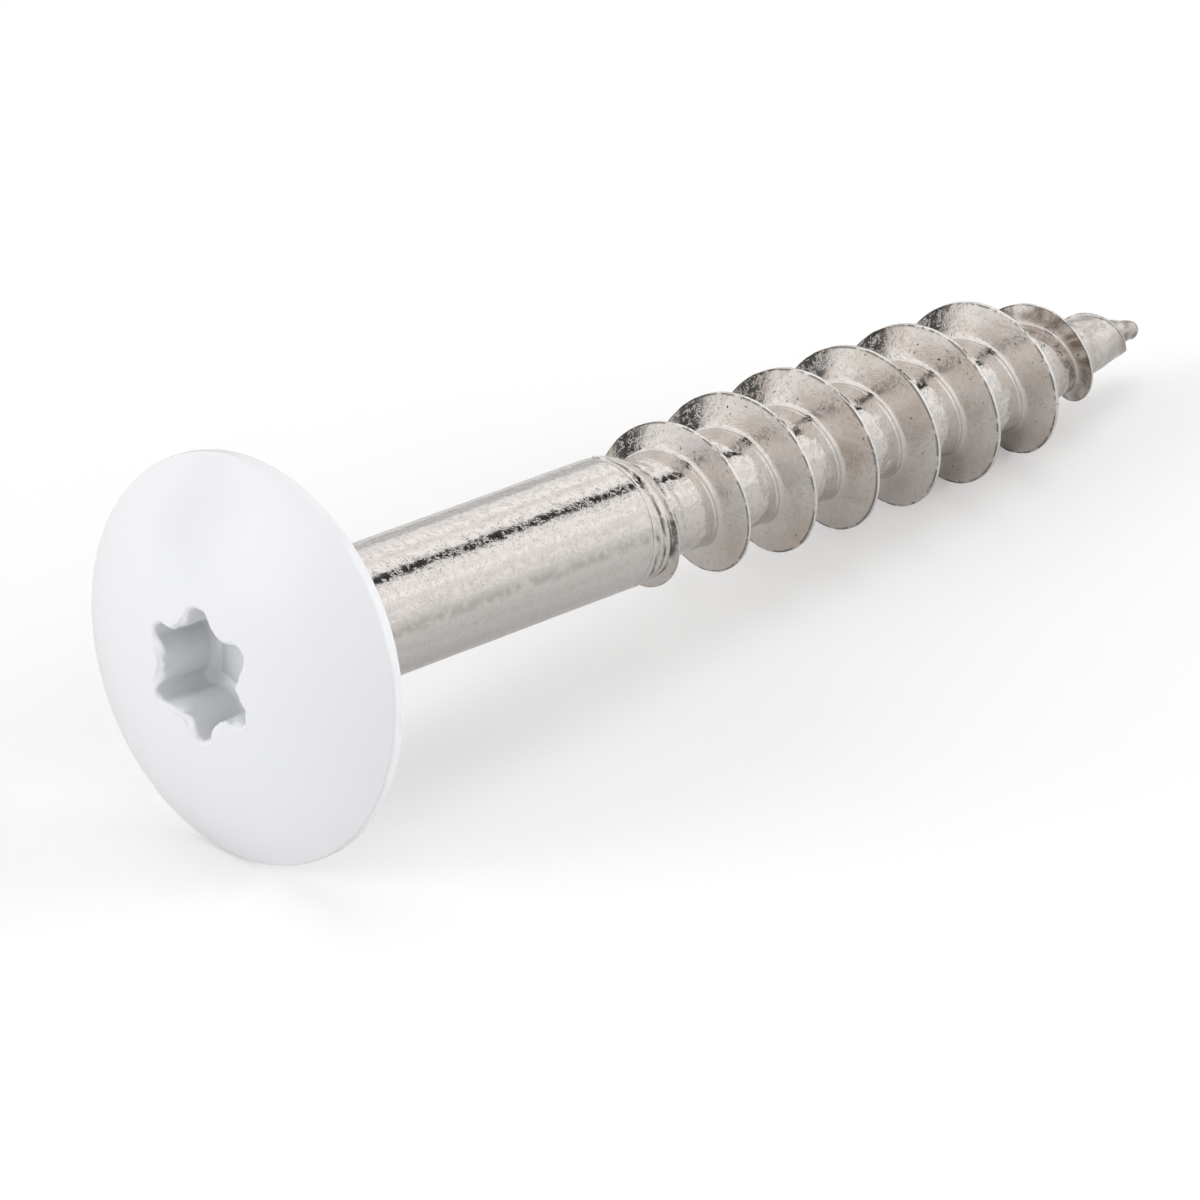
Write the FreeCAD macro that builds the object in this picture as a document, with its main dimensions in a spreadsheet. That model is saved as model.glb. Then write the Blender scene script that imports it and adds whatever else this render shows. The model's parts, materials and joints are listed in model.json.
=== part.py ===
import FreeCAD, Part
import math
import os

import Sketcher

# Facade screw with a painted lens head, a smooth shank and a coarse cutting thread.
# It is one cold-formed piece of stainless steel. In its own frame the axis is Z:
# the bearing face under the head is at z = 0, the head lies below it and the point is up.
# The finished screw is then laid on its side, on the rim of its head and on its thread.

os.makedirs("parts", exist_ok=True)
doc = FreeCAD.newDocument("facade_screw_document")

# Driving dimensions, in millimetres, degrees and turns
SIZES = {
    "head_diameter": 12.0,
    "head_height": 2.47,
    "rim_radius": 0.3,
    "under_chamfer": 0.3,
    "neck_taper": 0.5,
    "shank_diameter": 4.0,
    "shank_length": 14.3,
    "shoulder_length": 0.85,
    "run_down_length": 0.9,
    "core_diameter": 3.2,
    "screw_length": 38.45,
    "point_length": 7.05,
    "nib_length": 2.35,
    "nib_diameter": 1.7,
    "blunt_tip": 0.22,
    "thread_diameter": 5.3,
    "thread_pitch": 2.75,
    "thread_lead": 0.05,
    "bare_tip": 0.8,
    "start_angle": 6.0,
    "start_diameter": 4.1,
    "run_out_turns": 3.0,
    "crest_width": 0.17,
    "flank_angle": 21.0,
    "root_depth": 0.12,
    "taper_length": 6.5,
    "last_height": 0.08,
    "recess_width": 3.95,
    "recess_waist": 2.85,
    "recess_lobe_radius": 0.3,
    "recess_depth": 2.3,
    "recess_angle": 27.0,
    "roll_angle": -35.2,
}

FULL_TURN = 360.0

# How finely the thread's curves are set out, and how its two ends fade
STEPS_PER_TURN = 22
SHORTEST_STEP = 0.5
SHORTEST_TURN = 0.25
RUN_OUT_POWER = 2.0
TAPER_POWER = 1.1

sheet = doc.addObject("Spreadsheet::Sheet", "sizes")
for row, (alias, number) in enumerate(SIZES.items(), start=1):
    sheet.set(f"A{row}", alias)
    sheet.set(f"B{row}", str(number))
    sheet.setAlias(f"B{row}", alias)
doc.recompute()


def size(alias):
    """The number in one cell of the sheet."""
    return float(sheet.get(alias))


head_radius = size("head_diameter") / 2
rim = size("rim_radius")
under = size("under_chamfer")
neck = size("neck_taper")
shank_radius = size("shank_diameter") / 2
core_radius = size("core_diameter") / 2
thread_radius = size("thread_diameter") / 2
screw_length = size("screw_length")


def new_sketch(body, name, role):
    """A sketch on one of the body's own origin planes."""
    sketch = body.newObject("Sketcher::SketchObject", name)
    plane = next(f for f in body.Origin.OriginFeatures if f.Role == role)
    sketch.AttachmentSupport = [(plane, "")]
    sketch.MapMode = "FlatFace"
    return sketch


def constrain(sketch, kind, *where):
    return sketch.addConstraint(Sketcher.Constraint(kind, *where))


def dimension(sketch, name, formula, kind, *where):
    """A named dimension of a sketch, tied to the sheet by a formula."""
    index = constrain(sketch, kind, *where)
    sketch.renameConstraint(index, name)
    sketch.setExpression(f"Constraints.{name}", formula)


def line(sketch, start, end):
    return sketch.addGeometry(Part.LineSegment(FreeCAD.Vector(*start, 0), FreeCAD.Vector(*end, 0)))


def arc(sketch, centre, radius, start, end):
    """An arc of a sketch, anticlockwise between two angles in radians."""
    circle = Part.Circle(FreeCAD.Vector(*centre, 0), FreeCAD.Vector(0, 0, 1), radius)
    return sketch.addGeometry(Part.ArcOfCircle(circle, start, end))


# The blank: half of its outline, turned about the axis
blank = doc.addObject("PartDesign::Body", "blank")
outline = new_sketch(blank, "outline", "XZ_Plane")

# The dome and the rim are tangent, so their centres and the point where they meet are in line
crown = size("head_height") - under
dome_radius = ((head_radius - rim) ** 2 + crown ** 2 - rim ** 2) / (2 * (crown - rim))
dome_centre = dome_radius - size("head_height")
rim_angle = math.atan2(-under - dome_centre, head_radius - rim)

# The slender nib ends in a short, blunt cone
tip = size("blunt_tip")
tip_place = screw_length - tip
nib_radius = size("nib_diameter") / 2
nib_place = screw_length - size("nib_length")

run_down_start = size("shank_length") + size("shoulder_length")
core_start = run_down_start + size("run_down_length")
point_start = screw_length - size("point_length")

corners = [
    (head_radius, -under),
    (head_radius - under, 0),
    (shank_radius + neck, 0),
    (shank_radius, neck),
    (shank_radius, run_down_start),
    (core_radius, core_start),
    (core_radius, point_start),
    (nib_radius, nib_place),
    (tip, tip_place),
    (0, screw_length),
]
dome = arc(outline, (0, dome_centre), dome_radius, -math.pi / 2, rim_angle)
rim_arc = arc(outline, (head_radius - rim, -under), rim, rim_angle, 0)
lines = [line(outline, start, end) for start, end in zip(corners, corners[1:])]
chamfer, bearing, neck_taper, shank, run_down, core, point, nib, tip_cone = lines
axis = line(outline, (0, screw_length), (0, -size("head_height")))

START, END, CENTRE = range(1, 4)
H_AXIS, V_AXIS = range(-1, -3, -1)
ORIGIN = (H_AXIS, START)
constrain(outline, "Tangent", dome, END, rim_arc, START)
for first, second in [(rim_arc, chamfer), *zip(lines, lines[1:]), (tip_cone, axis), (axis, dome)]:
    constrain(outline, "Coincident", first, END, second, START)
for curve, where in ((dome, START), (dome, CENTRE), (tip_cone, END)):
    constrain(outline, "PointOnObject", curve, where, V_AXIS)
constrain(outline, "PointOnObject", bearing, START, H_AXIS)
for first, first_end, second, second_end in (
    (bearing, START, bearing, END),
    (rim_arc, CENTRE, rim_arc, END),
):
    constrain(outline, "Horizontal", first, first_end, second, second_end)
for curve in (shank, core):
    constrain(outline, "Vertical", curve)
for name, formula, kind, *where in (
    ("head_radius", "sizes.head_diameter / 2", "DistanceX", *ORIGIN, chamfer, START, head_radius),
    ("rim_radius", "sizes.rim_radius", "Radius", rim_arc, rim),
    ("under_in", "sizes.under_chamfer", "DistanceX", chamfer, END, chamfer, START, under),
    ("under_along", "sizes.under_chamfer", "DistanceY", chamfer, START, chamfer, END, under),
    ("head_height", "sizes.head_height", "DistanceY", dome, START, *ORIGIN, size("head_height")),
    ("neck_in", "sizes.neck_taper", "DistanceX", neck_taper, END, neck_taper, START, neck),
    ("neck_along", "sizes.neck_taper", "DistanceY", neck_taper, START, neck_taper, END, neck),
    ("shank_radius", "sizes.shank_diameter / 2", "DistanceX", *ORIGIN, shank, START, shank_radius),
    ("shank_end", "sizes.shank_length + sizes.shoulder_length", "DistanceY", *ORIGIN, shank, END,
     run_down_start),
    ("core_radius", "sizes.core_diameter / 2", "DistanceX", *ORIGIN, core, START, core_radius),
    ("run_down", "sizes.run_down_length", "DistanceY", run_down, START, run_down, END,
     size("run_down_length")),
    ("point_length", "sizes.point_length", "DistanceY", point, START, tip_cone, END,
     size("point_length")),
    ("nib_radius", "sizes.nib_diameter / 2", "DistanceX", *ORIGIN, nib, START, nib_radius),
    ("nib_length", "sizes.nib_length", "DistanceY", nib, START, tip_cone, END, size("nib_length")),
    ("tip_in", "sizes.blunt_tip", "DistanceX", tip_cone, END, tip_cone, START, tip),
    ("tip_along", "sizes.blunt_tip", "DistanceY", tip_cone, START, tip_cone, END, tip),
    ("screw_length", "sizes.screw_length", "DistanceY", *ORIGIN, tip_cone, END, screw_length),
):
    dimension(outline, name, formula, kind, *where)

turned = blank.newObject("PartDesign::Revolution", "turned_blank")
turned.Profile = outline
turned.ReferenceAxis = (outline, ["V_Axis"])
turned.Angle = FULL_TURN
doc.recompute()
blank_volume = turned.Shape.Volume

# The recess: six lobes on a hexagon, with a hollow curve between each two
LOBES = 6
lobe_radius = size("recess_lobe_radius")
lobe_centre = size("recess_width") / 2 - lobe_radius
waist_radius = size("recess_waist") / 2
half_step = math.pi / LOBES
hollow_radius = (
    lobe_centre ** 2 + waist_radius ** 2 - lobe_radius ** 2
    - 2 * lobe_centre * waist_radius * math.cos(half_step)
) / (2 * (lobe_centre * math.cos(half_step) + lobe_radius - waist_radius))
hollow_centre = waist_radius + hollow_radius
meeting = math.atan2(
    hollow_centre * math.sin(half_step), hollow_centre * math.cos(half_step) - lobe_centre
)

recess = new_sketch(blank, "recess", "XY_Plane")
recess.setExpression("AttachmentOffset.Base.z", "-sizes.head_height * 1 mm")
recess.setExpression("AttachmentOffset.Rotation.Angle", "sizes.recess_angle * 1 deg")
ring = recess.addGeometry(
    Part.Circle(FreeCAD.Vector(0, 0, 0), FreeCAD.Vector(0, 0, 1), lobe_centre), True
)
corners = [
    (lobe_centre * math.cos(2 * half_step * place), lobe_centre * math.sin(2 * half_step * place))
    for place in range(LOBES)
]
sides = [line(recess, corners[place - 1], corners[place]) for place in range(LOBES)]
lobes = []
hollows = []
for place in range(LOBES):
    out = place * 2 * half_step
    between = out + half_step
    centre = (lobe_centre * math.cos(out), lobe_centre * math.sin(out))
    lobes.append(arc(recess, centre, lobe_radius, out - meeting, out + meeting))
    centre = (hollow_centre * math.cos(between), hollow_centre * math.sin(between))
    back = between + math.pi
    spread = meeting - half_step
    hollows.append(arc(recess, centre, hollow_radius, back - spread, back + spread))
constrain(recess, "Coincident", ring, CENTRE, *ORIGIN)
constrain(recess, "PointOnObject", sides[0], END, H_AXIS)
for place in range(LOBES):
    after = (place + 1) % LOBES
    recess.setConstruction(sides[place], True)
    constrain(recess, "Coincident", sides[place], END, sides[after], START)
    constrain(recess, "PointOnObject", sides[place], END, ring)
    constrain(recess, "Coincident", lobes[place], CENTRE, sides[place], END)
    constrain(recess, "Tangent", lobes[place], END, hollows[place], END)
    constrain(recess, "Tangent", hollows[place], START, lobes[after], START)
for curves in (sides, lobes, hollows):
    for curve in curves[1:]:
        constrain(recess, "Equal", curves[0], curve)
dimension(recess, "lobe_ring", "sizes.recess_width / 2 - sizes.recess_lobe_radius", "Radius", ring,
          lobe_centre)
dimension(recess, "lobe_radius", "sizes.recess_lobe_radius", "Radius", lobes[0], lobe_radius)
HALF_STEP_COSINE = f"cos({FULL_TURN / LOBES / 2})"
dimension(
    recess, "hollow_radius",
    "(Constraints.lobe_ring ^ 2 + (sizes.recess_waist / 2 * 1 mm) ^ 2 - Constraints.lobe_radius ^ 2"
    f" - Constraints.lobe_ring * sizes.recess_waist * 1 mm * {HALF_STEP_COSINE})"
    f" / (2 * Constraints.lobe_ring * {HALF_STEP_COSINE} + 2 * Constraints.lobe_radius"
    " - sizes.recess_waist * 1 mm)",
    "Radius", hollows[0], hollow_radius,
)
doc.recompute()

socket = blank.newObject("PartDesign::Pocket", "socket")
socket.Profile = recess
socket.Reversed = True
socket.setExpression("Length", "sizes.recess_depth")
doc.recompute()
if not socket.Shape.Volume < blank_volume:
    raise RuntimeError("the socket cuts nothing")

# The thread. Its ridge grows out of the shank, runs at full height and fades towards the point,
# so no helix of one section makes it: each of its rails is a curve of its own.
pitch = size("thread_pitch")
thread_start = size("shank_length") - size("thread_lead")
thread_end = screw_length - size("bare_tip")
turns = (thread_end - thread_start) / pitch
half_crest = size("crest_width") / 2
flank_slope = math.tan(math.radians(size("flank_angle")))


def place_at(turn):
    """Where the ridge's middle is along the axis."""
    return thread_start + pitch * turn


def core_at(place):
    """Radius of the core, which runs straight and then tapers to the tip."""
    if place <= point_start:
        return core_radius
    if place <= nib_place:
        share = (place - point_start) / (nib_place - point_start)
        return core_radius + (nib_radius - core_radius) * share
    share = (place - nib_place) / (tip_place - nib_place)
    return nib_radius + (tip - nib_radius) * share


def crest_at(turn):
    """Radius of the crest, lower in its first turns and over the point."""
    missing = 1 - min(turn / size("run_out_turns"), 1)
    run_out = (thread_radius - size("start_diameter") / 2) * missing ** RUN_OUT_POWER
    past = max(place_at(turn) - thread_end + size("taper_length"), 0) / size("taper_length")
    last_crest = core_at(thread_end) + size("last_height")
    return thread_radius - run_out - (thread_radius - last_crest) * past ** TAPER_POWER


def section_at(turn):
    """The ridge's outline at one turn: foot and crest on the head's side, then crest and foot."""
    place = place_at(turn)
    height = crest_at(turn) - core_at(place)
    top = half_crest * math.sqrt(min(height / (thread_radius - core_radius), 1))
    depth = size("root_depth")
    foot = top + (height + depth) * flank_slope
    return [
        (core_at(place - foot) - depth, place - foot),
        (crest_at(turn), place - top),
        (crest_at(turn), place + top),
        (core_at(place + foot) - depth, place + foot),
    ]


def ridge_rails():
    """The four curves that the corners of the section follow."""
    whole_steps = math.floor(turns * STEPS_PER_TURN - SHORTEST_STEP)
    stops = [step / STEPS_PER_TURN for step in range(whole_steps + 1)] + [turns]
    tracks = [[] for corner in section_at(0)]
    for turn in stops:
        angle = math.radians(size("start_angle")) + 2 * math.pi * turn
        for track, (radius, place) in zip(tracks, section_at(turn)):
            track.append(FreeCAD.Vector(radius * math.cos(angle), radius * math.sin(angle), place))
    rails = []
    for track in tracks:
        rail = Part.BSplineCurve()
        rail.interpolate(Points=track, Parameters=stops)
        rails.append(rail)
    return rails


def strip(left, right, first, last):
    """The ruled face between two rails, from one turn to another."""
    surface = Part.BSplineSurface()
    surface.buildFromPolesMultsKnots(
        [left.getPoles(), right.getPoles()], [2, 2], left.getMultiplicities(), [0, 1], left.getKnots(),
        False, False, 1, left.Degree,
    )
    surface.segment(0, 1, first, last)
    return surface


def ridge_piece(rails, first, last):
    """The solid ridge between two turns: a flank, the crest, the other flank, a base and two ends."""
    strips = [
        strip(rail, rails[(number + 1) % len(rails)], first, last) for number, rail in enumerate(rails)
    ]
    faces = [surface.toShape() for surface in strips]
    for turn in (first, last):
        edges = [surface.vIso(turn).toShape() for surface in strips]
        faces.append(Part.Face(Part.Wire(Part.sortEdges(edges)[0])))
    shell = Part.Shell(faces)
    shell.sewShape()
    solid = Part.Solid(shell)
    if solid.Volume < 0:
        solid.reverse()
    return solid


rails = ridge_rails()
cuts = list(range(math.ceil(turns - SHORTEST_TURN))) + [turns]
ridge = []
for number, (first, last) in enumerate(zip(cuts, cuts[1:]), start=1):
    piece = doc.addObject("Part::Feature", f"thread_turn_{number}")
    piece.Shape = ridge_piece(rails, first, last)
    ridge.append(piece)

screw = doc.addObject("Part::MultiFuse", "facade_screw")
screw.Shapes = [blank] + ridge
screw.Label = "facade_screw"
doc.recompute()


# The screw lies on the rim of its head and on the crest that reaches lowest. Its axis runs
# along X, from the head to the point, and the origin is on the ground under its middle.
def rest_tilt(place, radius):
    """How far the axis dips when a crest of this radius, at this place, touches the ground."""
    return math.atan2(head_radius - radius, place + under)


down = (FULL_TURN / 2 - size("roll_angle") - size("start_angle")) / FULL_TURN % 1
lowest = [down + count for count in range(math.ceil(turns)) if down + count <= turns]
tilt = min(rest_tilt(place_at(turn), crest_at(turn)) for turn in lowest)
roll = FreeCAD.Rotation(FreeCAD.Vector(0, 0, 1), FULL_TURN / 2 + size("roll_angle"))
lay = FreeCAD.Rotation(FreeCAD.Vector(0, 1, 0), FULL_TURN / 4 + math.degrees(tilt))
screw.Placement = FreeCAD.Placement(FreeCAD.Vector(0, 0, 0), lay * roll)
doc.recompute()
box = screw.Shape.optimalBoundingBox(False, False)
screw.Placement.Base = FreeCAD.Vector(-box.Center.x, -box.Center.y, -box.ZMin)
doc.recompute()

for item in doc.Objects:
    if "Invalid" in item.State or "Error" in item.State:
        raise RuntimeError(f"{item.Name} did not build: {item.State}")
if screw.Shape.isNull() or not screw.Shape.isValid() or len(screw.Shape.Solids) != 1:
    raise RuntimeError("the screw is not one valid solid")
print("facade_screw:", round(screw.Shape.Volume, 1), "cubic mm, axis dips", round(math.degrees(tilt), 2))
screw.Shape.exportStep("parts/facade_screw.step")
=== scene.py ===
# %% [markdown]
# # A facade screw, lying on its side
# The real screw is one piece of stainless steel wire. Its head is pressed, its thread is rolled
# on, and the head is then painted white. Here it is made of two meshes: the steel from the neck
# to the point, and the painted head. Both are made in millimetres in the screw's own frame,
# where the axis is Z, the bearing face under the head is z = 0 and the point is up.
# A last matrix lays them down where the solid model lies.

# %% Load the solid model and its record
import json
import math

import bmesh
import bpy
from mathutils import Matrix, Vector, noise


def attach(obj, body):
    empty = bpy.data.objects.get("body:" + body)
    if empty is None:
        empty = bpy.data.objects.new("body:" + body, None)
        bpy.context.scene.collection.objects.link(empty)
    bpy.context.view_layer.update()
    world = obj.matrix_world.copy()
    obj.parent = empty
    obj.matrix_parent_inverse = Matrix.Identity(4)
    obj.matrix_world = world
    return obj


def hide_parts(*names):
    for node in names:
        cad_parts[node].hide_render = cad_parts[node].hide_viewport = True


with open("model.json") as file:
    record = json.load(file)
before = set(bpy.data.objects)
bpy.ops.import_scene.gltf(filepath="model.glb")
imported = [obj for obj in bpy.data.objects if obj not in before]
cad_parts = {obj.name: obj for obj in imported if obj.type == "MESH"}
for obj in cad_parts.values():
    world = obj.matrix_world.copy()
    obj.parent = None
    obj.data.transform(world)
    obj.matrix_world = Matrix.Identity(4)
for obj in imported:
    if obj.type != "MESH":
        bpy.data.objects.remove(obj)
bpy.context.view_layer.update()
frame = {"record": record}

# %% [markdown]
# ## Where the screw lies
# The record names places on the screw that other parts fit. The mouth of the socket is on the
# axis, and its direction is the axis, so the two give the matrix from the screw's own frame to
# the world. Reading them is safer than typing the numbers again: if the model moves, so does this.

# %% The matrix that lays the screw down
MM = 0.001
MOUTH_DEPTH = 2.25
ROLL = math.radians(180 - 35.2)

places = {place["name"]: place for place in frame["record"]["mounts"]}
out_of_head = Vector(places["drive_socket"]["axis"])
to_point = -out_of_head
bearing_centre = Vector(places["drive_socket"]["pos_m"]) + to_point * MOUTH_DEPTH * MM
dip = math.atan2(out_of_head.z, to_point.x)
lay_down = (
    Matrix.Translation(bearing_centre)
    @ Matrix.Rotation(math.pi / 2 + dip, 4, "Y")
    @ Matrix.Rotation(ROLL, 4, "Z")
    @ Matrix.Scale(MM, 4)
)
print("the axis dips", round(math.degrees(dip), 2), "degrees towards the point")

# %% [markdown]
# ## The camera
# A long lens far away keeps the head and the point at nearly the same scale, as in a catalogue
# picture. The camera looks along one direction, and its place is found backwards: the middle of
# the head's rim has to land on one spot of the picture.

# %% Camera
PICTURE = 1200
FOCAL_PIXELS = 8965
DISTANCE = 0.25046
RIM_SPOT = (248.9, 656.8)
RIM_BACK = 0.3
azimuth = math.radians(-46.785)
elevation = math.radians(29.39)

forward = Vector((
    -math.sin(azimuth) * math.cos(elevation),
    math.cos(azimuth) * math.cos(elevation),
    -math.sin(elevation),
))
right = forward.cross(Vector((0, 0, 1))).normalized()
upward = right.cross(forward)
rim_centre = bearing_centre - to_point * RIM_BACK * MM
eye = (
    rim_centre - forward * DISTANCE
    - right * DISTANCE * (RIM_SPOT[0] - PICTURE / 2) / FOCAL_PIXELS
    - upward * DISTANCE * (PICTURE / 2 - RIM_SPOT[1]) / FOCAL_PIXELS
)
camera = bpy.data.objects.new("camera", bpy.data.cameras.new("camera"))
bpy.context.collection.objects.link(camera)
camera.data.sensor_width = 36
camera.data.lens = FOCAL_PIXELS * 36 / PICTURE
camera.data.clip_start = 0.01
camera.data.clip_end = 20
camera.matrix_world = Matrix.LocRotScale(
    eye, Matrix((right, upward, -forward)).transposed().to_quaternion(), None
)
bpy.context.scene.camera = camera
print("camera at", [round(n, 4) for n in eye])

# %% [markdown]
# ## Two small helpers
# Many parts of the screw are a radius that changes along its length. A table of stops and a
# straight line between them is enough for that, and a smooth step fades one form into another.

# %% Helpers
def between(stops, x):
    """Reads a table of (x, y) stops, with straight lines between them."""
    for (x0, y0), (x1, y1) in zip(stops, stops[1:]):
        if x <= x1:
            return y0 + (y1 - y0) * max(x - x0, 0) / (x1 - x0)
    return stops[-1][1]


def fade(low, high, x):
    """0 below low, 1 above high, and a soft S between."""
    t = min(max((x - low) / (high - low), 0), 1)
    return t * t * (3 - 2 * t)


def bump(centre, width, x):
    """A soft hump that is 1 at its centre."""
    return math.exp(-((x - centre) / width) ** 2)

# %% [markdown]
# ## The thread
# A screw thread could be made with a Screw modifier, but this one changes on its way: it climbs
# out of the shank, runs at full height and fades over the point. So two functions say how high
# the crest stands at each turn and how deep the valley beside it lies.

# %% Sizes of the thread
PITCH = 2.75
THREAD_START = 14.25
START_ANGLE = math.radians(6)
SHANK = 2.0
CREST = 2.65
HALF_CREST = 0.05
FLANK = math.tan(math.radians(21))
SLACK_FLANK = 1.0
STRAIGHT_CORE = 1.6
CORE = [
    (0, STRAIGHT_CORE), (31.4, STRAIGHT_CORE), (36.1, 0.85), (37.2, 0.55),
    (37.8, 0.36), (38.2, 0.29), (38.45, 0.27),
]
FULL_RISE = CREST - STRAIGHT_CORE
FOOT = HALF_CREST + FULL_RISE * FLANK
RUN_OUT_TURNS = 3
RUN_OUT_DROP = 0.6
TAPER_TURN = 6.27
FALL = 0.95
LAST_RAISE = 0.2

# Spans of turns, or of millimetres along the axis, over which one form fades into another
RAISE_TURNS = (8, 8.5)
STARTING_TURNS = (-0.12, 0.02)
ENDING_TURNS = (7.95, 8.6)
SLACKENING_TURNS = (7.3, 8.3)
FIRST_VALLEY_TURNS = (0.3, 0.95)
SHOULDER_SPAN = (14.5, 15.6)


def crest_at(turn):
    """Radius of the crest: low at first, full for most turns, then falling to the point."""
    missing = 1 - min(max(turn, 0) / RUN_OUT_TURNS, 1)
    falling = FALL * max(turn - TAPER_TURN, 0) - LAST_RAISE * fade(*RAISE_TURNS, turn)
    return CREST - RUN_OUT_DROP * missing ** 2 - falling


def valley_at(place, turn, side):
    """Radius between two crests. Before the first crest the shank's own width runs on."""
    next_crest = turn if side < 0 else turn + 1
    rest = between(CORE, place)
    band = max(1 - fade(*FIRST_VALLEY_TURNS, next_crest), 1 - fade(*SHOULDER_SPAN, place))
    return rest + (SHANK - rest) * band


print("crest at turns 0 to 8:", [round(crest_at(turn), 2) for turn in range(9)])

# %% [markdown]
# ## The helix
# A profile of one pitch is spun along a helix for one turn, and that turn is copied along the
# axis. Its two ends meet the turns before and after it, and merging them makes one closed skin.
# Each vertex remembers where on the profile it came from, in a layer that spin and duplicate copy
# along. The points lie close together at the crest and at the root, where the form turns sharply.

# %% Spin one pitch of profile along the helix
STEPS = 100
FIRST_TURN = -0.55
TURNS = 10

half = [
    0.025, 0.048, 0.06, 0.085, 0.14, 0.22, 0.29, 0.35, 0.41, 0.45, 0.48, 0.51, 0.55, 0.6, 0.64,
    0.68, 0.72, 0.8, 0.88, 0.96, 1.04, 1.12, 1.2, 1.29, PITCH / 2,
]
across_stops = [-x for x in reversed(half)] + [0] + half

steel = bmesh.new()
across = steel.verts.layers.float.new("across")
start = START_ANGLE + 2 * math.pi * FIRST_TURN
profile = []
for x in across_stops:
    vert = steel.verts.new((
        SHANK * math.cos(start), SHANK * math.sin(start), THREAD_START + PITCH * FIRST_TURN + x
    ))
    vert[across] = x
    profile.append(vert)
edges = [steel.edges.new(pair) for pair in zip(profile, profile[1:])]
bmesh.ops.spin(
    steel, geom=profile + edges, cent=(0, 0, 0), axis=(0, 0, 1), dvec=(0, 0, PITCH / STEPS),
    angle=2 * math.pi, steps=STEPS, use_merge=False, use_duplicate=False,
)
one_turn = steel.verts[:] + steel.edges[:] + steel.faces[:]
for count in range(1, TURNS):
    copy = bmesh.ops.duplicate(steel, geom=one_turn)["geom"]
    moved = [part for part in copy if isinstance(part, bmesh.types.BMVert)]
    bmesh.ops.translate(steel, verts=moved, vec=(0, 0, PITCH * count))
bmesh.ops.remove_doubles(steel, verts=steel.verts, dist=0.001)
print("helix:", len(steel.verts), "vertices")

# %% [markdown]
# ## Shaping the ridge
# The crest is a narrow land. From its edges the flanks fall at 21 degrees, and a root runs into
# the core. Rolling leaves a fine bead at the root on the head's side. Over the point the flank
# that faces the tip grows slack, and the last ridge dies out before the nub.

# %% The shape of the ridge
ROOT_SOFTNESS = 0.1
HEAD_SIDE_SLACK = 0.2
BEAD_HEIGHT = 0.02
BEAD_PLACE = 0.15
BEAD_WIDTH = 0.035


def ridge_point(turn, x):
    """Place along the axis, radius and height above the valley for one point of the profile."""
    side = -1 if x < 0 else 1
    reach = abs(x)
    middle = THREAD_START + PITCH * turn
    valley = valley_at(middle + x, turn, side)
    rise = max(crest_at(turn) - valley, 0) * fade(*STARTING_TURNS, turn)
    rise *= 1 - fade(*ENDING_TURNS, turn)
    slack = (SLACK_FLANK - FLANK) * fade(*SLACKENING_TURNS, turn)
    slope = FLANK + slack * (1 if side > 0 else HEAD_SIDE_SLACK)
    top = HALF_CREST * math.sqrt(min(rise / FULL_RISE, 1))
    foot = top + rise * slope
    if reach <= HALF_CREST:
        out, height = reach * top / HALF_CREST, rise
    elif reach <= FOOT:
        share = (reach - HALF_CREST) / (FOOT - HALF_CREST)
        out, height = top + share * (foot - top), rise * (1 - share)
    else:
        share = (reach - FOOT) / (PITCH / 2 - FOOT)
        out = foot + share * (PITCH / 2 - foot)
        height = (foot - out) / slope
    soft = ROOT_SOFTNESS * math.sqrt(rise / FULL_RISE)
    height = (height + math.hypot(height, soft)) / 2
    if side < 0:
        height += BEAD_HEIGHT * bump(foot + BEAD_PLACE, BEAD_WIDTH, out) * min(rise / FULL_RISE, 1)
    return middle + side * out, valley + height, height


print("ridge at turn 4:", [round(n, 3) for n in ridge_point(4, 0)], "mm")

# %% [markdown]
# ## Marks of rolling
# The skin is a little wavy, the crest has nicks, and fine furrows run round the place where the
# thread leaves the shank. They are part of the shape, because polished steel shows every slope.
# Noise from mathutils is the same at each run, so the marks never move. Each vertex also notes
# what the material needs to know: its height on the ridge, whether it lies on the crest or just
# beside it, how deep in a furrow it is, and how much of the brown stain of the point it takes.

# %% Move each vertex to its place on the ridge
WAVE_HEIGHT = 0.018
RIPPLE_HEIGHT = 0.012
FURROW_DEPTH = 0.016
FURROWS_ROUND = 5
FURROWS_ALONG = 20
NICK_DEPTH = 0.03
NICK_LEVEL = 0.15
LOWEST_RIDGE = 0.02


def skin_noise(spot, radius, place, rate, shift=0):
    """Smooth noise on the skin of the screw; a higher rate makes finer marks."""
    return noise.noise(Vector((*(spot * radius * rate).xy, place * rate + shift)))


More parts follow.
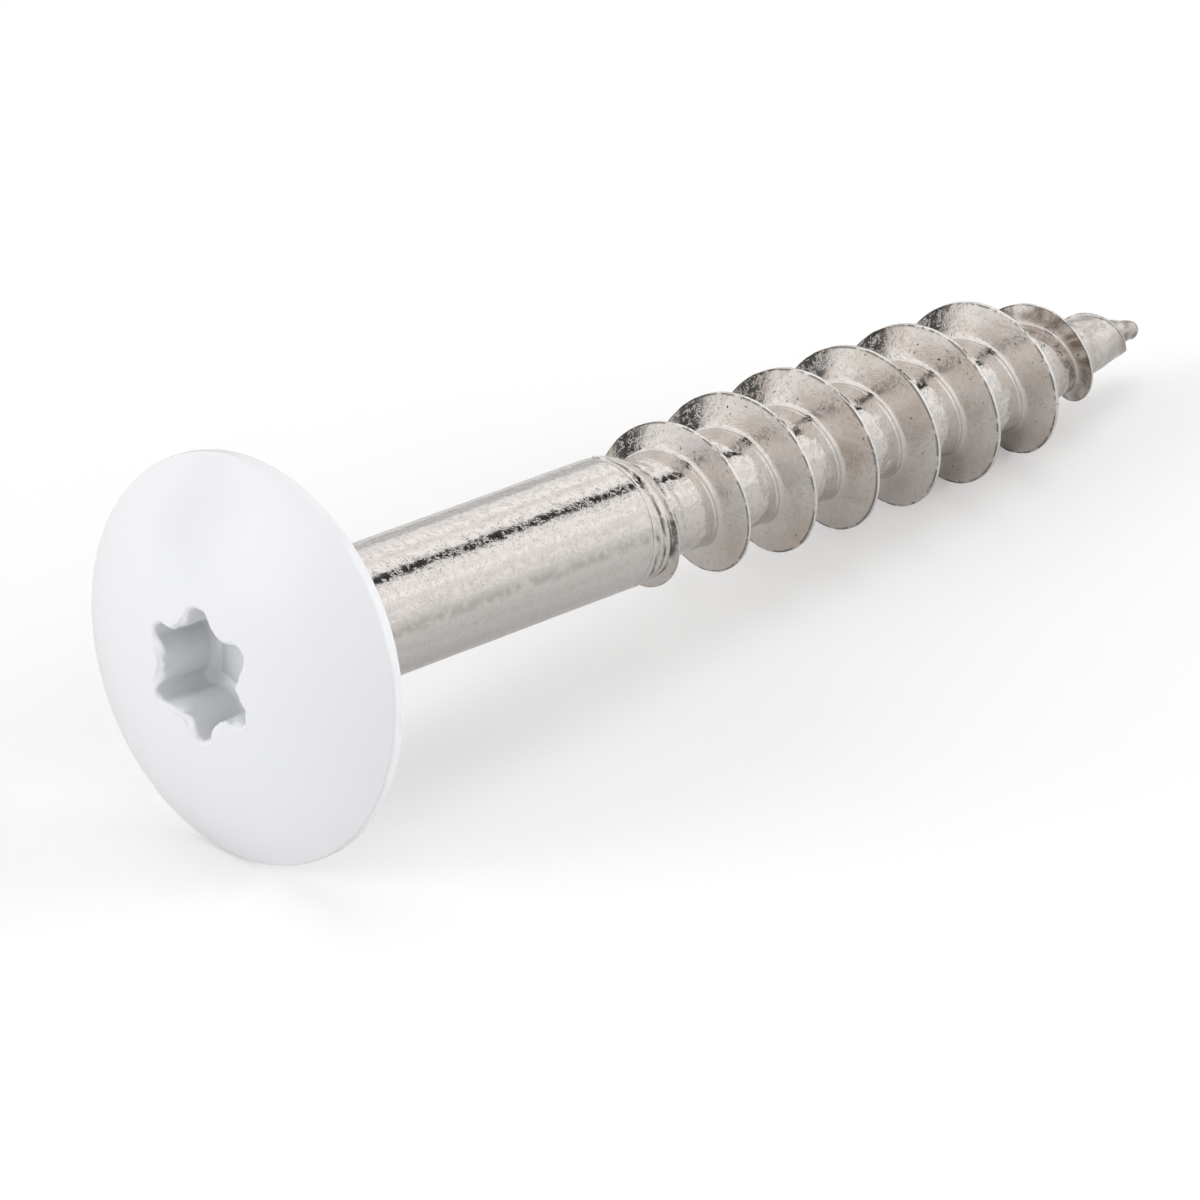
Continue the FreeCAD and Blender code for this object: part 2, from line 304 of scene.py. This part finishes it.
rise_layer = steel.verts.layers.float.new("rise")
crest_layer = steel.verts.layers.float.new("crest")
edge_layer = steel.verts.layers.float.new("edge")
score_layer = steel.verts.layers.float.new("score")
burnt_layer = steel.verts.layers.float.new("burnt")
for vert in steel.verts:
    turn = (vert.co.z - THREAD_START - vert[across]) / PITCH
    place, radius, height = ridge_point(turn, vert[across])
    spot = Vector((vert.co.x, vert.co.y, 0)).normalized()
    on_crest = abs(vert[across]) < 0.05 and height > LOWEST_RIDGE
    beside_crest = 0.055 < abs(vert[across]) < 0.07 and height > LOWEST_RIDGE
    waves = WAVE_HEIGHT * skin_noise(spot, radius, place, 0.9)
    ripples = RIPPLE_HEIGHT * skin_noise(spot, radius, place, 2.6, 40)
    calm = 1 - 0.6 * min(height, 1)
    radius += calm * (waves + ripples)
    scored = fade(14.34, 14.44, place) * (1 - fade(15.1, 16.4, place)) * (1 - fade(0.1, 0.4, height))
    furrow = math.sin(math.atan2(spot.y, spot.x) * FURROWS_ROUND - place * FURROWS_ALONG)
    radius += FURROW_DEPTH * scored * furrow
    on_ridge_or_nub = max(fade(0.05, 0.3, height), fade(36.3, 37.8, place))
    vert[burnt_layer] = fade(31.5, 34, place) * (0.3 + 0.7 * on_ridge_or_nub)
    vert[score_layer] = scored * fade(0, 1, -furrow)
    vert[edge_layer] = 1.0 if beside_crest else 0.0
    if on_crest:
        nick = skin_noise(spot, radius, place, 3.5, 90)
        radius -= NICK_DEPTH * max(nick - NICK_LEVEL, 0)
    vert[rise_layer] = height
    vert[crest_layer] = 1.0 if on_crest else 0.0
    vert.co = (spot.x * radius, spot.y * radius, place)
print("ridge shaped over", TURNS, "turns")

# %% [markdown]
# ## Square ends
# A plane trims each end of the thread. It cuts some edges close to a vertex, and two vertices
# almost in one spot would draw a thin line along the whole shank, so those of the cut are merged.

# %% Trim both ends square
SHANK_END = 14.34
SHANK_MERGE = 0.03
TIP_CUT = 38.0
TIP_MERGE = 0.005
for place, inner, merge in ((SHANK_END, True, SHANK_MERGE), (TIP_CUT, False, TIP_MERGE)):
    bmesh.ops.bisect_plane(
        steel, geom=steel.verts[:] + steel.edges[:] + steel.faces[:], dist=1e-5,
        plane_co=(0, 0, place), plane_no=(0, 0, 1), clear_inner=inner, clear_outer=not inner,
    )
    ring = [vert for vert in steel.verts if abs(vert.co.z - place) < 1e-4]
    bmesh.ops.remove_doubles(steel, verts=ring, dist=merge)
print("trimmed:", len(steel.faces), "faces")

# %% [markdown]
# ## The shank and the tip
# Both ends of the thread's skin are now open loops of edges. Extruding such a loop and setting
# the new ring's radius and place draws the rest of the screw without any seam: a fine groove
# where the shank ends, the long shank with its slight waviness, the neck under the head, and the
# small blunt nib at the other end.

# %% Draw rings out of an open end
def pull_rings(mesh, place, rings):
    """Extrudes the open loop at one place through (place, radius) rings and closes the last one."""
    loop = [
        edge for edge in mesh.edges
        if edge.is_boundary and all(abs(vert.co.z - place) < 1e-3 for vert in edge.verts)
    ]
    for ring_place, radius in rings:
        made = bmesh.ops.extrude_edge_only(mesh, edges=loop)["geom"]
        loop = [part for part in made if isinstance(part, bmesh.types.BMEdge)]
        for vert in {vert for edge in loop for vert in edge.verts}:
            spot = Vector((vert.co.x, vert.co.y, 0)).normalized()
            waves = noise.noise(Vector((*(spot * 1.6).xy, ring_place * 0.7)))
            grown = radius + 0.006 * waves * min(radius, 1)
            vert.co = (spot.x * grown, spot.y * grown, ring_place)
    bmesh.ops.edgeloop_fill(mesh, edges=loop)


groove = [(14.335, 1.992), (14.32, 1.972), (14.3, 1.965), (14.275, 1.975), (14.25, 1.994), (14.2, SHANK)]
shank = [(14.0 - 0.45 * step, SHANK) for step in range(30)]
neck = [(0.5, SHANK), (0.34, 2.03), (0.2, 2.1), (0.1, 2.2), (0.03, 2.34), (0, 2.46), (-0.06, 2.4)]
nib = [(38.1, 0.305), (38.2, 0.28), (38.28, 0.24), (38.35, 0.18), (38.4, 0.12), (38.43, 0.065)]
pull_rings(steel, SHANK_END, groove + shank + neck)
pull_rings(steel, TIP_CUT, nib)
bmesh.ops.recalc_face_normals(steel, faces=steel.faces)
print("steel:", len(steel.verts), "vertices,", len(steel.faces), "faces")

# %% [markdown]
# ## Laying a piece down
# The matrix from above lays the finished mesh where the solid model lies. The piece hangs on the
# root body, and the solid screw is hidden. Recalculated normals can still all point inwards, and
# not the same way at each run. A closed mesh that is inside out has a negative volume, so the sign
# of the volume decides whether the faces are turned over.

# %% Turn a bmesh into a finished piece
def finish_piece(mesh, name):
    """Lays the mesh down in the world and hands it to the frame."""
    if mesh.calc_volume(signed=True) < 0:
        bmesh.ops.reverse_faces(mesh, faces=mesh.faces)
    mesh.transform(lay_down)
    for face in mesh.faces:
        face.smooth = True
    data = bpy.data.meshes.new(name)
    mesh.to_mesh(data)
    mesh.free()
    piece = bpy.data.objects.new(name, data)
    bpy.context.collection.objects.link(piece)
    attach(piece, "root")
    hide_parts("facade_screw")
    data.calc_loop_triangles()
    print(name, "has", len(data.loop_triangles), "triangles")
    return piece


steel_piece = finish_piece(steel, "steel_shank_and_thread")

# %% [markdown]
# ## The painted head
# A lens head is a disc with a shallow dome, and its six-lobe socket is pressed in. The dome is
# part of a sphere, and its radius follows from the head's width and height. The outline of the
# socket is made of six round lobes and the six round hollows between them.

# %% Sizes of the head
HEAD = 6.0
HEAD_HEIGHT = 2.47
RIM = 0.12
LAND_BACK = 0.34
LAND_FRONT = 0.55
LOBE_PLACE = 1.675
LOBE = 0.3
HOLLOW_PLACE = 2.365
HOLLOW = 0.94
SOCKET_TURN = math.radians(27)
SOCKET_FLOOR = -0.17
FLOOR_ROUND = 0.12
WALL_RADIUS = 2.0
WALL_STEPS = 9
FLOOR_STEPS = 4
LIP = 0.16
LIP_LEVEL = -2.3

crown = HEAD_HEIGHT - LAND_FRONT
dome_radius = ((HEAD - RIM) ** 2 + crown ** 2 - RIM ** 2) / (2 * (crown - RIM))
dome_centre = dome_radius - HEAD_HEIGHT
rim_angle = math.atan2(-LAND_FRONT - dome_centre, HEAD - RIM)


def dome_at(radius):
    """How far below the bearing face the dome's skin lies at a radius."""
    return dome_centre - math.sqrt(dome_radius ** 2 - radius ** 2)


def star(angle, offset):
    """Distance from the axis to the six-lobe outline, made larger all round by offset."""
    step = math.pi / 3
    off = abs((angle - SOCKET_TURN + step / 2) % step - step / 2)
    lobe, hollow = LOBE + offset, HOLLOW - offset
    lean = math.atan2(HOLLOW_PLACE * 0.5, HOLLOW_PLACE * math.cos(step / 2) - LOBE_PLACE)
    meeting = math.atan2(lobe * math.sin(lean), LOBE_PLACE + lobe * math.cos(lean))
    if off < meeting:
        return LOBE_PLACE * math.cos(off) + math.sqrt(lobe ** 2 - (LOBE_PLACE * math.sin(off)) ** 2)
    off = step / 2 - off
    return HOLLOW_PLACE * math.cos(off) - math.sqrt(hollow ** 2 - (HOLLOW_PLACE * math.sin(off)) ** 2)


print("socket:", round(2 * star(SOCKET_TURN, 0), 2), "mm over the lobes")

# %% [markdown]
# ## Turning the head
# One outline from the underside, over the narrow land of the rim, to the middle of the socket's
# floor is spun round the axis. That gives a head with a round socket.

# %% Spin the outline of the head
# Each row is radius, place (or None on the dome), how much of the star it takes, and its offset
underside = [
    (2.3, 0), (3.2, 0), (4.2, 0), (5.1, 0), (5.5, 0), (5.64, -0.01), (5.72, -0.045), (5.8, -0.11),
    (5.9, -0.2), (5.965, -0.265), (5.99, -0.3), (HEAD, -LAND_BACK), (HEAD, -0.4), (HEAD, -0.48),
]
rows = [(radius, place, 0, 0) for radius, place in underside]
RIM_STEPS = 10
for step in range(RIM_STEPS + 1):
    angle = rim_angle * step / RIM_STEPS
    rows.append((HEAD - RIM + RIM * math.cos(angle), -LAND_FRONT + RIM * math.sin(angle), 0, 0))
rows += [(radius, None, 0, 0) for radius in (5.3, 5.05, 4.7, 4.3, 3.9, 3.5, 3.2, 2.95)]
rows += [
    (2.75, None, 0.12, 0.5), (2.58, None, 0.35, 0.45), (2.45, None, 0.62, 0.38), (2.34, None, 0.84, 0.31),
    (2.25, None, 0.96, 0.25), (2.18, None, 1, 0.205), (2.14, None, 1, LIP),
]
LIP_STEPS = 7
lip_top = dome_at(WALL_RADIUS)
for step in range(1, LIP_STEPS + 1):
    angle = math.pi / 2 * step / LIP_STEPS
    rows.append((WALL_RADIUS, lip_top + LIP * (1 - math.cos(angle)), 1, LIP * (1 - math.sin(angle))))
wall_top = lip_top + LIP
wall_height = SOCKET_FLOOR - FLOOR_ROUND - wall_top
for step in range(1, WALL_STEPS + 1):
    rows.append((WALL_RADIUS, wall_top + wall_height * step / WALL_STEPS, 1, -0.005 * step))
for step in range(1, FLOOR_STEPS + 1):
    angle = math.pi / 2 * step / FLOOR_STEPS
    level = SOCKET_FLOOR - FLOOR_ROUND * (1 - math.sin(angle))
    rows.append((1.9, level, 1, -0.045 - FLOOR_ROUND * (1 - math.cos(angle))))
rows += [(1.5, SOCKET_FLOOR, 0.9, -0.2), (1.25, SOCKET_FLOOR + 0.01, 0.5, -0.2)]
floor_cone = [(1.0, 0.02), (0.7, 0.03), (0.4, 0.04), (0.15, 0.04)]
rows += [(radius, SOCKET_FLOOR + sunk, 0, 0) for radius, sunk in floor_cone]

head = bmesh.new()
row_layer = head.verts.layers.int.new("row")
outline = []
for number, (radius, place, _, _) in enumerate(rows):
    vert = head.verts.new((radius, 0, place if place is not None else dome_at(radius)))
    vert[row_layer] = number
    outline.append(vert)
edges = [head.edges.new(pair) for pair in zip(outline, outline[1:])]
bmesh.ops.spin(
    head, geom=outline + edges, cent=(0, 0, 0), axis=(0, 0, 1), angle=2 * math.pi, steps=360,
    use_merge=True, use_duplicate=False,
)
print("head outline spun:", len(head.verts), "vertices")

# %% [markdown]
# ## Pressing the socket
# The rings near the socket take the lobed outline, more so the closer they are: the paint makes
# the lips soft. A boolean cut would be quick too, but it leaves sharp lips and long thin faces
# that shade badly. Each vertex also notes how deep in the socket it lies, for the painted shade
# on the socket's walls and the painted light on its floor.

# %% Press the socket and let the paint pool on its lips
depth_layer = head.verts.layers.float.new("depth")
for vert in head.verts:
    radius, place, press, offset = rows[vert[row_layer]]
    angle = math.atan2(vert.co.y, vert.co.x)
    if press:
        level = place or LIP_LEVEL
        pool = noise.noise(Vector((math.cos(angle) * 3.2, math.sin(angle) * 3.2, level * 1.5)))
        bead = noise.noise(Vector((math.cos(angle) * 7, math.sin(angle) * 7, level * 4)))
        near = bump(-2.2, 0.35, level)
        wanted = star(angle, offset + (0.05 * pool + 0.06 * bead) * (0.3 + near))
        radius += (wanted - radius) * press
    if place is None:
        place = dome_at(radius)
    if radius > 5.8:
        uneven = noise.noise(Vector((math.cos(angle) * 9, math.sin(angle) * 9, place * 6)))
        radius -= 0.03 * max(uneven, 0)
    vert[depth_layer] = max(place - lip_top, 0) if press else 0
    vert.co = (radius * math.cos(angle), radius * math.sin(angle), place)

ends = [edge for edge in head.edges if edge.is_boundary]
bmesh.ops.holes_fill(head, edges=ends, sides=0)
bmesh.ops.recalc_face_normals(head, faces=head.faces)
open_edges = sum(edge.is_boundary for edge in head.edges)
print("painted head:", len(head.faces), "faces,", open_edges, "open edges")
head_piece = finish_piece(head, "painted_head")

# %% [markdown]
# ## A grain for both finishes
# Paint and rolled steel both have a fine relief, one soft like orange peel, the other crisp and
# crawling. It is the same effect at two scales, so it is one node group with named inputs. It
# reads Object coordinates, which stay on the piece from every side.

# %% The group of nodes that makes the relief
def new_group(name, inputs, outputs):
    """A shader node group with its sockets."""
    group = bpy.data.node_groups.new(name, "ShaderNodeTree")
    for socket, value in inputs.items():
        made = group.interface.new_socket(socket, in_out="INPUT", socket_type="NodeSocketFloat")
        made.default_value = value
    for socket in outputs:
        group.interface.new_socket(socket, in_out="OUTPUT", socket_type="NodeSocketFloat")
    return group, group.nodes.new("NodeGroupInput"), group.nodes.new("NodeGroupOutput")


def node(tree, kind, links=(), **settings):
    """Adds a node, sets its fields and sockets, and links its inputs."""
    made = tree.nodes.new(kind)
    for name, value in settings.items():
        if hasattr(made, name):
            setattr(made, name, value)
        else:
            made.inputs[name.replace("_", " ")].default_value = value
    for socket, source in dict(links).items():
        tree.links.new(source, made.inputs[socket])
    return made


grain, grain_in, grain_out = new_group("surface_grain", {"Scale": 3000.0, "Crawl": 0.5}, ["Height"])
grain_place = node(grain, "ShaderNodeTexCoord")
grain_noise = node(grain, "ShaderNodeTexNoise", {
    "Vector": grain_place.outputs["Object"], "Scale": grain_in.outputs["Scale"],
    "Distortion": grain_in.outputs["Crawl"],
}, Detail=2.0)
grain.links.new(grain_noise.outputs["Fac"], grain_out.inputs["Height"])
print("group made:", grain.name)


def new_material(name):
    """An empty material and the shader in it."""
    material = bpy.data.materials.new(name)
    material.use_nodes = True
    return material, material.node_tree, material.node_tree.nodes["Principled BSDF"]


def place_grain(tree, scale, crawl):
    """Puts the grain into a material and returns its height."""
    made = node(tree, "ShaderNodeGroup", node_tree=grain)
    made.inputs["Scale"].default_value = scale
    made.inputs["Crawl"].default_value = crawl
    return made.outputs["Height"]

# %% [markdown]
# ## Rolled stainless steel
# The steel is bright but not a mirror. It reads the notes that the vertices carry. Fine rings run
# round the flanks: they come from noise that changes fast with the height of the ridge and slowly
# along it, which is what a rolling die does.

# %% What the steel reads
steel_material, tree, shader = new_material("rolled_stainless_steel")
place = node(tree, "ShaderNodeTexCoord").outputs["Object"]
rise = node(tree, "ShaderNodeAttribute", attribute_name="rise").outputs["Fac"]
on_crest = node(tree, "ShaderNodeAttribute", attribute_name="crest").outputs["Fac"]
edge = node(tree, "ShaderNodeAttribute", attribute_name="edge").outputs["Fac"]
score = node(tree, "ShaderNodeAttribute", attribute_name="score").outputs["Fac"]
burnt = node(tree, "ShaderNodeAttribute", attribute_name="burnt").outputs["Fac"]

flank = node(tree, "ShaderNodeMapRange", {"Value": rise}, From_Min=0.05, From_Max=0.25)
split = node(tree, "ShaderNodeSeparateXYZ", {"Vector": node(
    tree, "ShaderNodeVectorMath", {"Vector": place}, operation="SCALE", Scale=500.0).outputs["Vector"]})
ring_height = node(tree, "ShaderNodeMath", {0: rise}, operation="MULTIPLY")
ring_height.inputs[1].default_value = 26
ring_place = node(tree, "ShaderNodeCombineXYZ", {
    "X": ring_height.outputs[0], "Y": split.outputs["Y"], "Z": split.outputs["Z"]})
rings = node(tree, "ShaderNodeTexNoise", {"Vector": ring_place.outputs[0]}, Scale=1.0, Detail=3.0)
print("the steel reads", len(tree.nodes), "nodes")

# %% [markdown]
# ## Colours of the steel
# The steel shifts a little between cool grey and a warm film on the flanks. A brown stain grows
# in patches towards the point, most of all on the ridge. The crest is rubbed bright.

# %% Film, stain and bright crest
stain = node(tree, "ShaderNodeTexNoise", {"Vector": place}, Scale=650.0, Detail=5.0, Distortion=0.8)
stain_share = node(tree, "ShaderNodeMapRange", {"Value": stain.outputs["Fac"]}, From_Min=0.45, From_Max=0.7)
stain_on_flank = node(tree, "ShaderNodeMath", {
    0: stain_share.outputs[0], 1: flank.outputs[0]}, operation="MULTIPLY")
base = node(tree, "ShaderNodeMix", {"Factor": stain_on_flank.outputs[0]}, data_type="RGBA")
base.inputs[6].default_value = (0.74, 0.7, 0.67, 1)
base.inputs[7].default_value = (0.66, 0.58, 0.51, 1)

patches = node(tree, "ShaderNodeTexNoise", {"Vector": place}, Scale=1100.0, Detail=4.0, Distortion=1.2)
patch = node(tree, "ShaderNodeMapRange", {"Value": patches.outputs["Fac"]}, From_Min=0.4, From_Max=0.58)
burnt_patch = node(tree, "ShaderNodeMath", {0: patch.outputs[0], 1: burnt}, operation="MULTIPLY")
burn = node(tree, "ShaderNodeMix", {"Factor": burnt_patch.outputs[0]}, data_type="RGBA")
tree.links.new(base.outputs[2], burn.inputs[6])
burn.inputs[7].default_value = (0.27, 0.215, 0.175, 1)

shine = node(tree, "ShaderNodeMix", {"Factor": on_crest}, data_type="RGBA")
tree.links.new(burn.outputs[2], shine.inputs[6])
shine.inputs[7].default_value = (0.82, 0.79, 0.76, 1)
print("colours mixed")

# %% [markdown]
# ## Dark marks
# Short dark dashes sit beside the crest and in the furrows, and specks lie on the flanks.

# %% Dashes and specks
dashes = node(tree, "ShaderNodeTexNoise", {"Vector": place}, Scale=2600.0, Detail=3.0)
dash = node(tree, "ShaderNodeMapRange", {"Value": dashes.outputs["Fac"]}, From_Min=0.41, From_Max=0.51)
edge_mark = node(tree, "ShaderNodeMath", {0: edge, 1: dash.outputs[0]}, operation="MULTIPLY")
wide_dash = node(tree, "ShaderNodeMapRange", {"Value": dashes.outputs["Fac"]}, From_Min=0.36, From_Max=0.54)
score_mark = node(tree, "ShaderNodeMath", {0: score, 1: wide_dash.outputs[0]}, operation="MULTIPLY")
dark_mark = node(tree, "ShaderNodeMath", {
    0: edge_mark.outputs[0], 1: score_mark.outputs[0]}, operation="MAXIMUM")
specks = node(tree, "ShaderNodeTexNoise", {"Vector": place}, Scale=8000.0, Detail=1.0)
speck = node(tree, "ShaderNodeMapRange", {"Value": specks.outputs["Fac"]}, From_Min=0.71, From_Max=0.78)
flank_speck = node(tree, "ShaderNodeMath", {0: speck.outputs[0], 1: flank.outputs[0]}, operation="MULTIPLY")
pit = node(tree, "ShaderNodeMath", {0: dark_mark.outputs[0], 1: flank_speck.outputs[0]}, operation="MAXIMUM")
pitted = node(tree, "ShaderNodeMix", {"Factor": pit.outputs[0]}, data_type="RGBA")
tree.links.new(shine.outputs[2], pitted.inputs[6])
pitted.inputs[7].default_value = (0.12, 0.1, 0.085, 1)
print("marks made")

# %% [markdown]
# ## Relief of the steel
# Short raised marks crawl all over the metal. A line of constant value in noise is a long thread,
# and a second noise breaks it into pieces. Soft dents and the rings of the die lie under them.

# %% Raised marks, dents and rings
ring_share = node(tree, "ShaderNodeMath", {
    0: rings.outputs["Fac"], 1: flank.outputs[0]}, operation="MULTIPLY")
roughness = node(tree, "ShaderNodeMapRange", {"Value": ring_share.outputs[0]}, To_Min=0.11, To_Max=0.26)
tree.links.new(roughness.outputs[0], shader.inputs["Roughness"])
pebbles = place_grain(tree, 4300.0, 1.6)
folded = node(tree, "ShaderNodeMath", {0: pebbles}, operation="SUBTRACT")
folded.inputs[1].default_value = 0.5
creases = node(tree, "ShaderNodeMath", {0: folded.outputs[0]}, operation="ABSOLUTE")
line = node(
    tree, "ShaderNodeMapRange", {"Value": creases.outputs[0]}, From_Max=0.06, To_Min=1.0, To_Max=0.0)
breaks = node(tree, "ShaderNodeTexNoise", {"Vector": place}, Scale=5200.0, Detail=1.0)
kept = node(tree, "ShaderNodeMapRange", {"Value": breaks.outputs["Fac"]}, From_Min=0.42, From_Max=0.54)
worm = node(tree, "ShaderNodeMath", {0: line.outputs[0], 1: kept.outputs[0]}, operation="MULTIPLY")
crease = node(tree, "ShaderNodeMath", {0: worm.outputs[0]}, operation="MULTIPLY")
crease.inputs[1].default_value = 0.3
creased = node(tree, "ShaderNodeMix", {"Factor": crease.outputs[0]}, data_type="RGBA")
tree.links.new(pitted.outputs[2], creased.inputs[6])
creased.inputs[7].default_value = (0.4, 0.37, 0.35, 1)
tree.links.new(creased.outputs[2], shader.inputs["Base Color"])
dents = place_grain(tree, 1500.0, 0.5)
first = node(tree, "ShaderNodeBump", {"Height": worm.outputs[0]}, Strength=1.0, Distance=0.000003)
second = node(
    tree, "ShaderNodeBump", {"Height": dents, "Normal": first.outputs[0]},
    Strength=1.0, Distance=0.000016)
third = node(
    tree, "ShaderNodeBump", {"Height": ring_share.outputs[0], "Normal": second.outputs[0]},
    Strength=1.0, Distance=0.0000015)
tree.links.new(third.outputs[0], shader.inputs["Normal"])
shader.inputs["Metallic"].default_value = 1.0
steel_piece.data.materials.append(steel_material)
print("steel nodes:", len(tree.nodes))

# %% [markdown]
# ## White paint
# Powder paint on the head is a cool white with a soft gloss and a faint orange peel. Deeper in
# the socket the walls are coloured greyer, as painted shade, and the floor is coloured whiter
# than the rest of the head, as painted light.

# %% Paint material
paint_material, tree, shader = new_material("white_powder_paint")
depth = node(tree, "ShaderNodeAttribute", attribute_name="depth").outputs["Fac"]
# Painted shade: the paint is coloured grey on the walls deep in the socket.
socket_wall_painted_shade = node(tree, "ShaderNodeMapRange", {"Value": depth}, From_Min=0.15, From_Max=1.2)
colour = node(tree, "ShaderNodeMix", {"Factor": socket_wall_painted_shade.outputs[0]}, data_type="RGBA")
colour.inputs[6].default_value = (0.84, 0.845, 0.865, 1)
colour.inputs[7].default_value = (0.74, 0.755, 0.765, 1)
# Painted light: the floor of the socket is coloured whiter than the rest of the head.
bottom = node(tree, "ShaderNodeMapRange", {"Value": depth}, From_Min=1.8, From_Max=2.0)
socket_floor_painted_light = node(tree, "ShaderNodeMix", {"Factor": bottom.outputs[0]}, data_type="RGBA")
tree.links.new(colour.outputs[2], socket_floor_painted_light.inputs[6])
socket_floor_painted_light.inputs[7].default_value = (0.94, 0.945, 0.95, 1)
tree.links.new(socket_floor_painted_light.outputs[2], shader.inputs["Base Color"])
peel = place_grain(tree, 1100.0, 0.2)
relief = node(tree, "ShaderNodeBump", {"Height": peel}, Strength=1.0, Distance=0.000006)
tree.links.new(relief.outputs[0], shader.inputs["Normal"])
shader.inputs["Roughness"].default_value = 0.2
head_piece.data.materials.append(paint_material)
print("paint nodes:", len(tree.nodes))

# %% [markdown]
# ## The floor
# The floor adds some light of its own for the camera, so that it looks white while the lamps stay
# low, and it still takes the shadow.

# %% Floor
def flat_card(name, centre, facing, along, length, width, material):
    """A flat stage card at centre that faces one way and whose length runs along another."""
    face = Vector(facing).normalized()
    side = face.cross(Vector(along)).normalized()
    turn = Matrix((side.cross(face), side, face)).transposed().to_quaternion()
    mesh = bmesh.new()
    bmesh.ops.create_grid(mesh, x_segments=1, y_segments=1, size=0.5)
    bmesh.ops.scale(mesh, vec=(length, width, 1), verts=mesh.verts)
    mesh.transform(Matrix.LocRotScale(Vector(centre), turn, None))
    data = bpy.data.meshes.new(name)
    mesh.to_mesh(data)
    mesh.free()
    card = bpy.data.objects.new(name, data)
    data.materials.append(material)
    bpy.context.collection.objects.link(card)
    return card


floor_material, tree, shader = new_material("pale_floor")
shader.inputs["Base Color"].default_value = (0.76, 0.76, 0.76, 1)
shader.inputs["Roughness"].default_value = 0.9
shader.inputs["Specular IOR Level"].default_value = 0.0
path = node(tree, "ShaderNodeLightPath")
lift = node(tree, "ShaderNodeMath", {0: path.outputs["Is Camera Ray"]}, operation="MULTIPLY")
lift.inputs[1].default_value = 0.25
shader.inputs["Emission Color"].default_value = (1, 1, 1, 1)
tree.links.new(lift.outputs[0], shader.inputs["Emission Strength"])
flat_card("floor", (0, 0, 0), (0, 0, 1), (1, 0, 0), 3, 3, floor_material)
print("floor laid")

# %% [markdown]
# ## Cards for the reflections
# Bright steel has no colour of its own to speak of: it shows the room. A photographer hangs
# white sheets all round and puts a few cards out of view. One dark card overhead draws the dark
# line along the shank, a second one behind darkens the upper left of each flank, and a grey one
# greys the shank's upper edge. The cards are seen by reflections only, so they never stand in
# front of a camera on another side.

# %% Dark cards and a grey one
grey_material, tree, shader = new_material("grey_card")
shader.inputs["Base Color"].default_value = (0.6, 0.6, 0.6, 1)
shader.inputs["Roughness"].default_value = 0.9
card_material, tree, shader = new_material("dark_card")
shader.inputs["Base Color"].default_value = (0.02, 0.02, 0.02, 1)
shader.inputs["Roughness"].default_value = 0.9
overhead = Vector((0.1097, -0.1744, 0.9786))
above_shank = overhead * 0.3 + to_point * 0.2
behind = Vector((-0.177, 0.239, 0.07))
beyond = Vector((0.216, 0.208, 0.038))
cards = [
    flat_card("overhead_card", above_shank, -overhead, to_point, 0.5, 0.08, card_material),
    flat_card("card_behind", behind, -behind, (0.804, 0.595, 0), 0.12, 0.13, card_material),
    flat_card("card_beyond", beyond, -beyond, (0.694, -0.72, 0), 0.3, 0.084, grey_material),
]
for card in cards:
    card.visible_camera = card.visible_diffuse = card.visible_shadow = False
print("cards hung")

# %% [markdown]
# ## Lamps
# Three soft lamps light the paint and the floor. The steel doesn't mirror them.

# %% Lamps
def soft_lamp(name, spot, power, size):
    """A square lamp that faces the screw and isn't mirrored in it."""
    data = bpy.data.lights.new(name, "AREA")
    data.energy = power
    data.size = size
    lamp = bpy.data.objects.new(name, data)
    lamp.matrix_world = Matrix.LocRotScale(Vector(spot), Vector(spot).to_track_quat("Z", "Y"), None)
    lamp.visible_glossy = False
    bpy.context.collection.objects.link(lamp)
    return lamp


soft_lamp("front_lamp", (-0.85, 0.35, 0.35), 3.9, 0.5)
soft_lamp("top_lamp", (0.1, 0.1, 1.0), 1.5, 0.6)
soft_lamp("side_lamp", (0.66, -0.7, 0.3), 5.0, 0.5)
print("lamps lit")

# %% [markdown]
# ## A white room
# The camera sees plain white. Reflections see sheets that are a little uneven and get duller
# towards the ground, which makes the edge between room and floor soft in the steel.

# %% World
world = bpy.data.worlds.new("white_room")
bpy.context.scene.world = world
world.use_nodes = True
background = world.node_tree.nodes["Background"]
path = node(world.node_tree, "ShaderNodeLightPath")
direction = node(world.node_tree, "ShaderNodeTexCoord").outputs["Generated"]
sky_height = node(world.node_tree, "ShaderNodeSeparateXYZ", {"Vector": direction}).outputs["Z"]
low_sky = node(
    world.node_tree, "ShaderNodeMapRange", {"Value": sky_height}, From_Max=0.3, To_Min=0.8, To_Max=1.0)
sheets = node(world.node_tree, "ShaderNodeTexNoise", {"Vector": direction}, Scale=4.5, Detail=1.0)
sheet = node(
    world.node_tree, "ShaderNodeMapRange", {"Value": sheets.outputs["Fac"]},
    From_Min=0.3, From_Max=0.7, To_Min=0.86, To_Max=1.2)
room = node(world.node_tree, "ShaderNodeMath", {
    0: low_sky.outputs[0], 1: sheet.outputs[0]}, operation="MULTIPLY")
lit = node(world.node_tree, "ShaderNodeMix", {0: path.outputs["Is Glossy Ray"]})
lit.inputs[2].default_value = 0.6
world.node_tree.links.new(room.outputs[0], lit.inputs[3])
strength = node(world.node_tree, "ShaderNodeMath", {
    0: lit.outputs[0], 1: path.outputs["Is Camera Ray"]}, operation="MAXIMUM")
world.node_tree.links.new(strength.outputs[0], background.inputs["Strength"])
background.inputs["Color"].default_value = (1, 1, 1, 1)
bpy.context.scene.view_settings.view_transform = "Standard"
print("room painted")
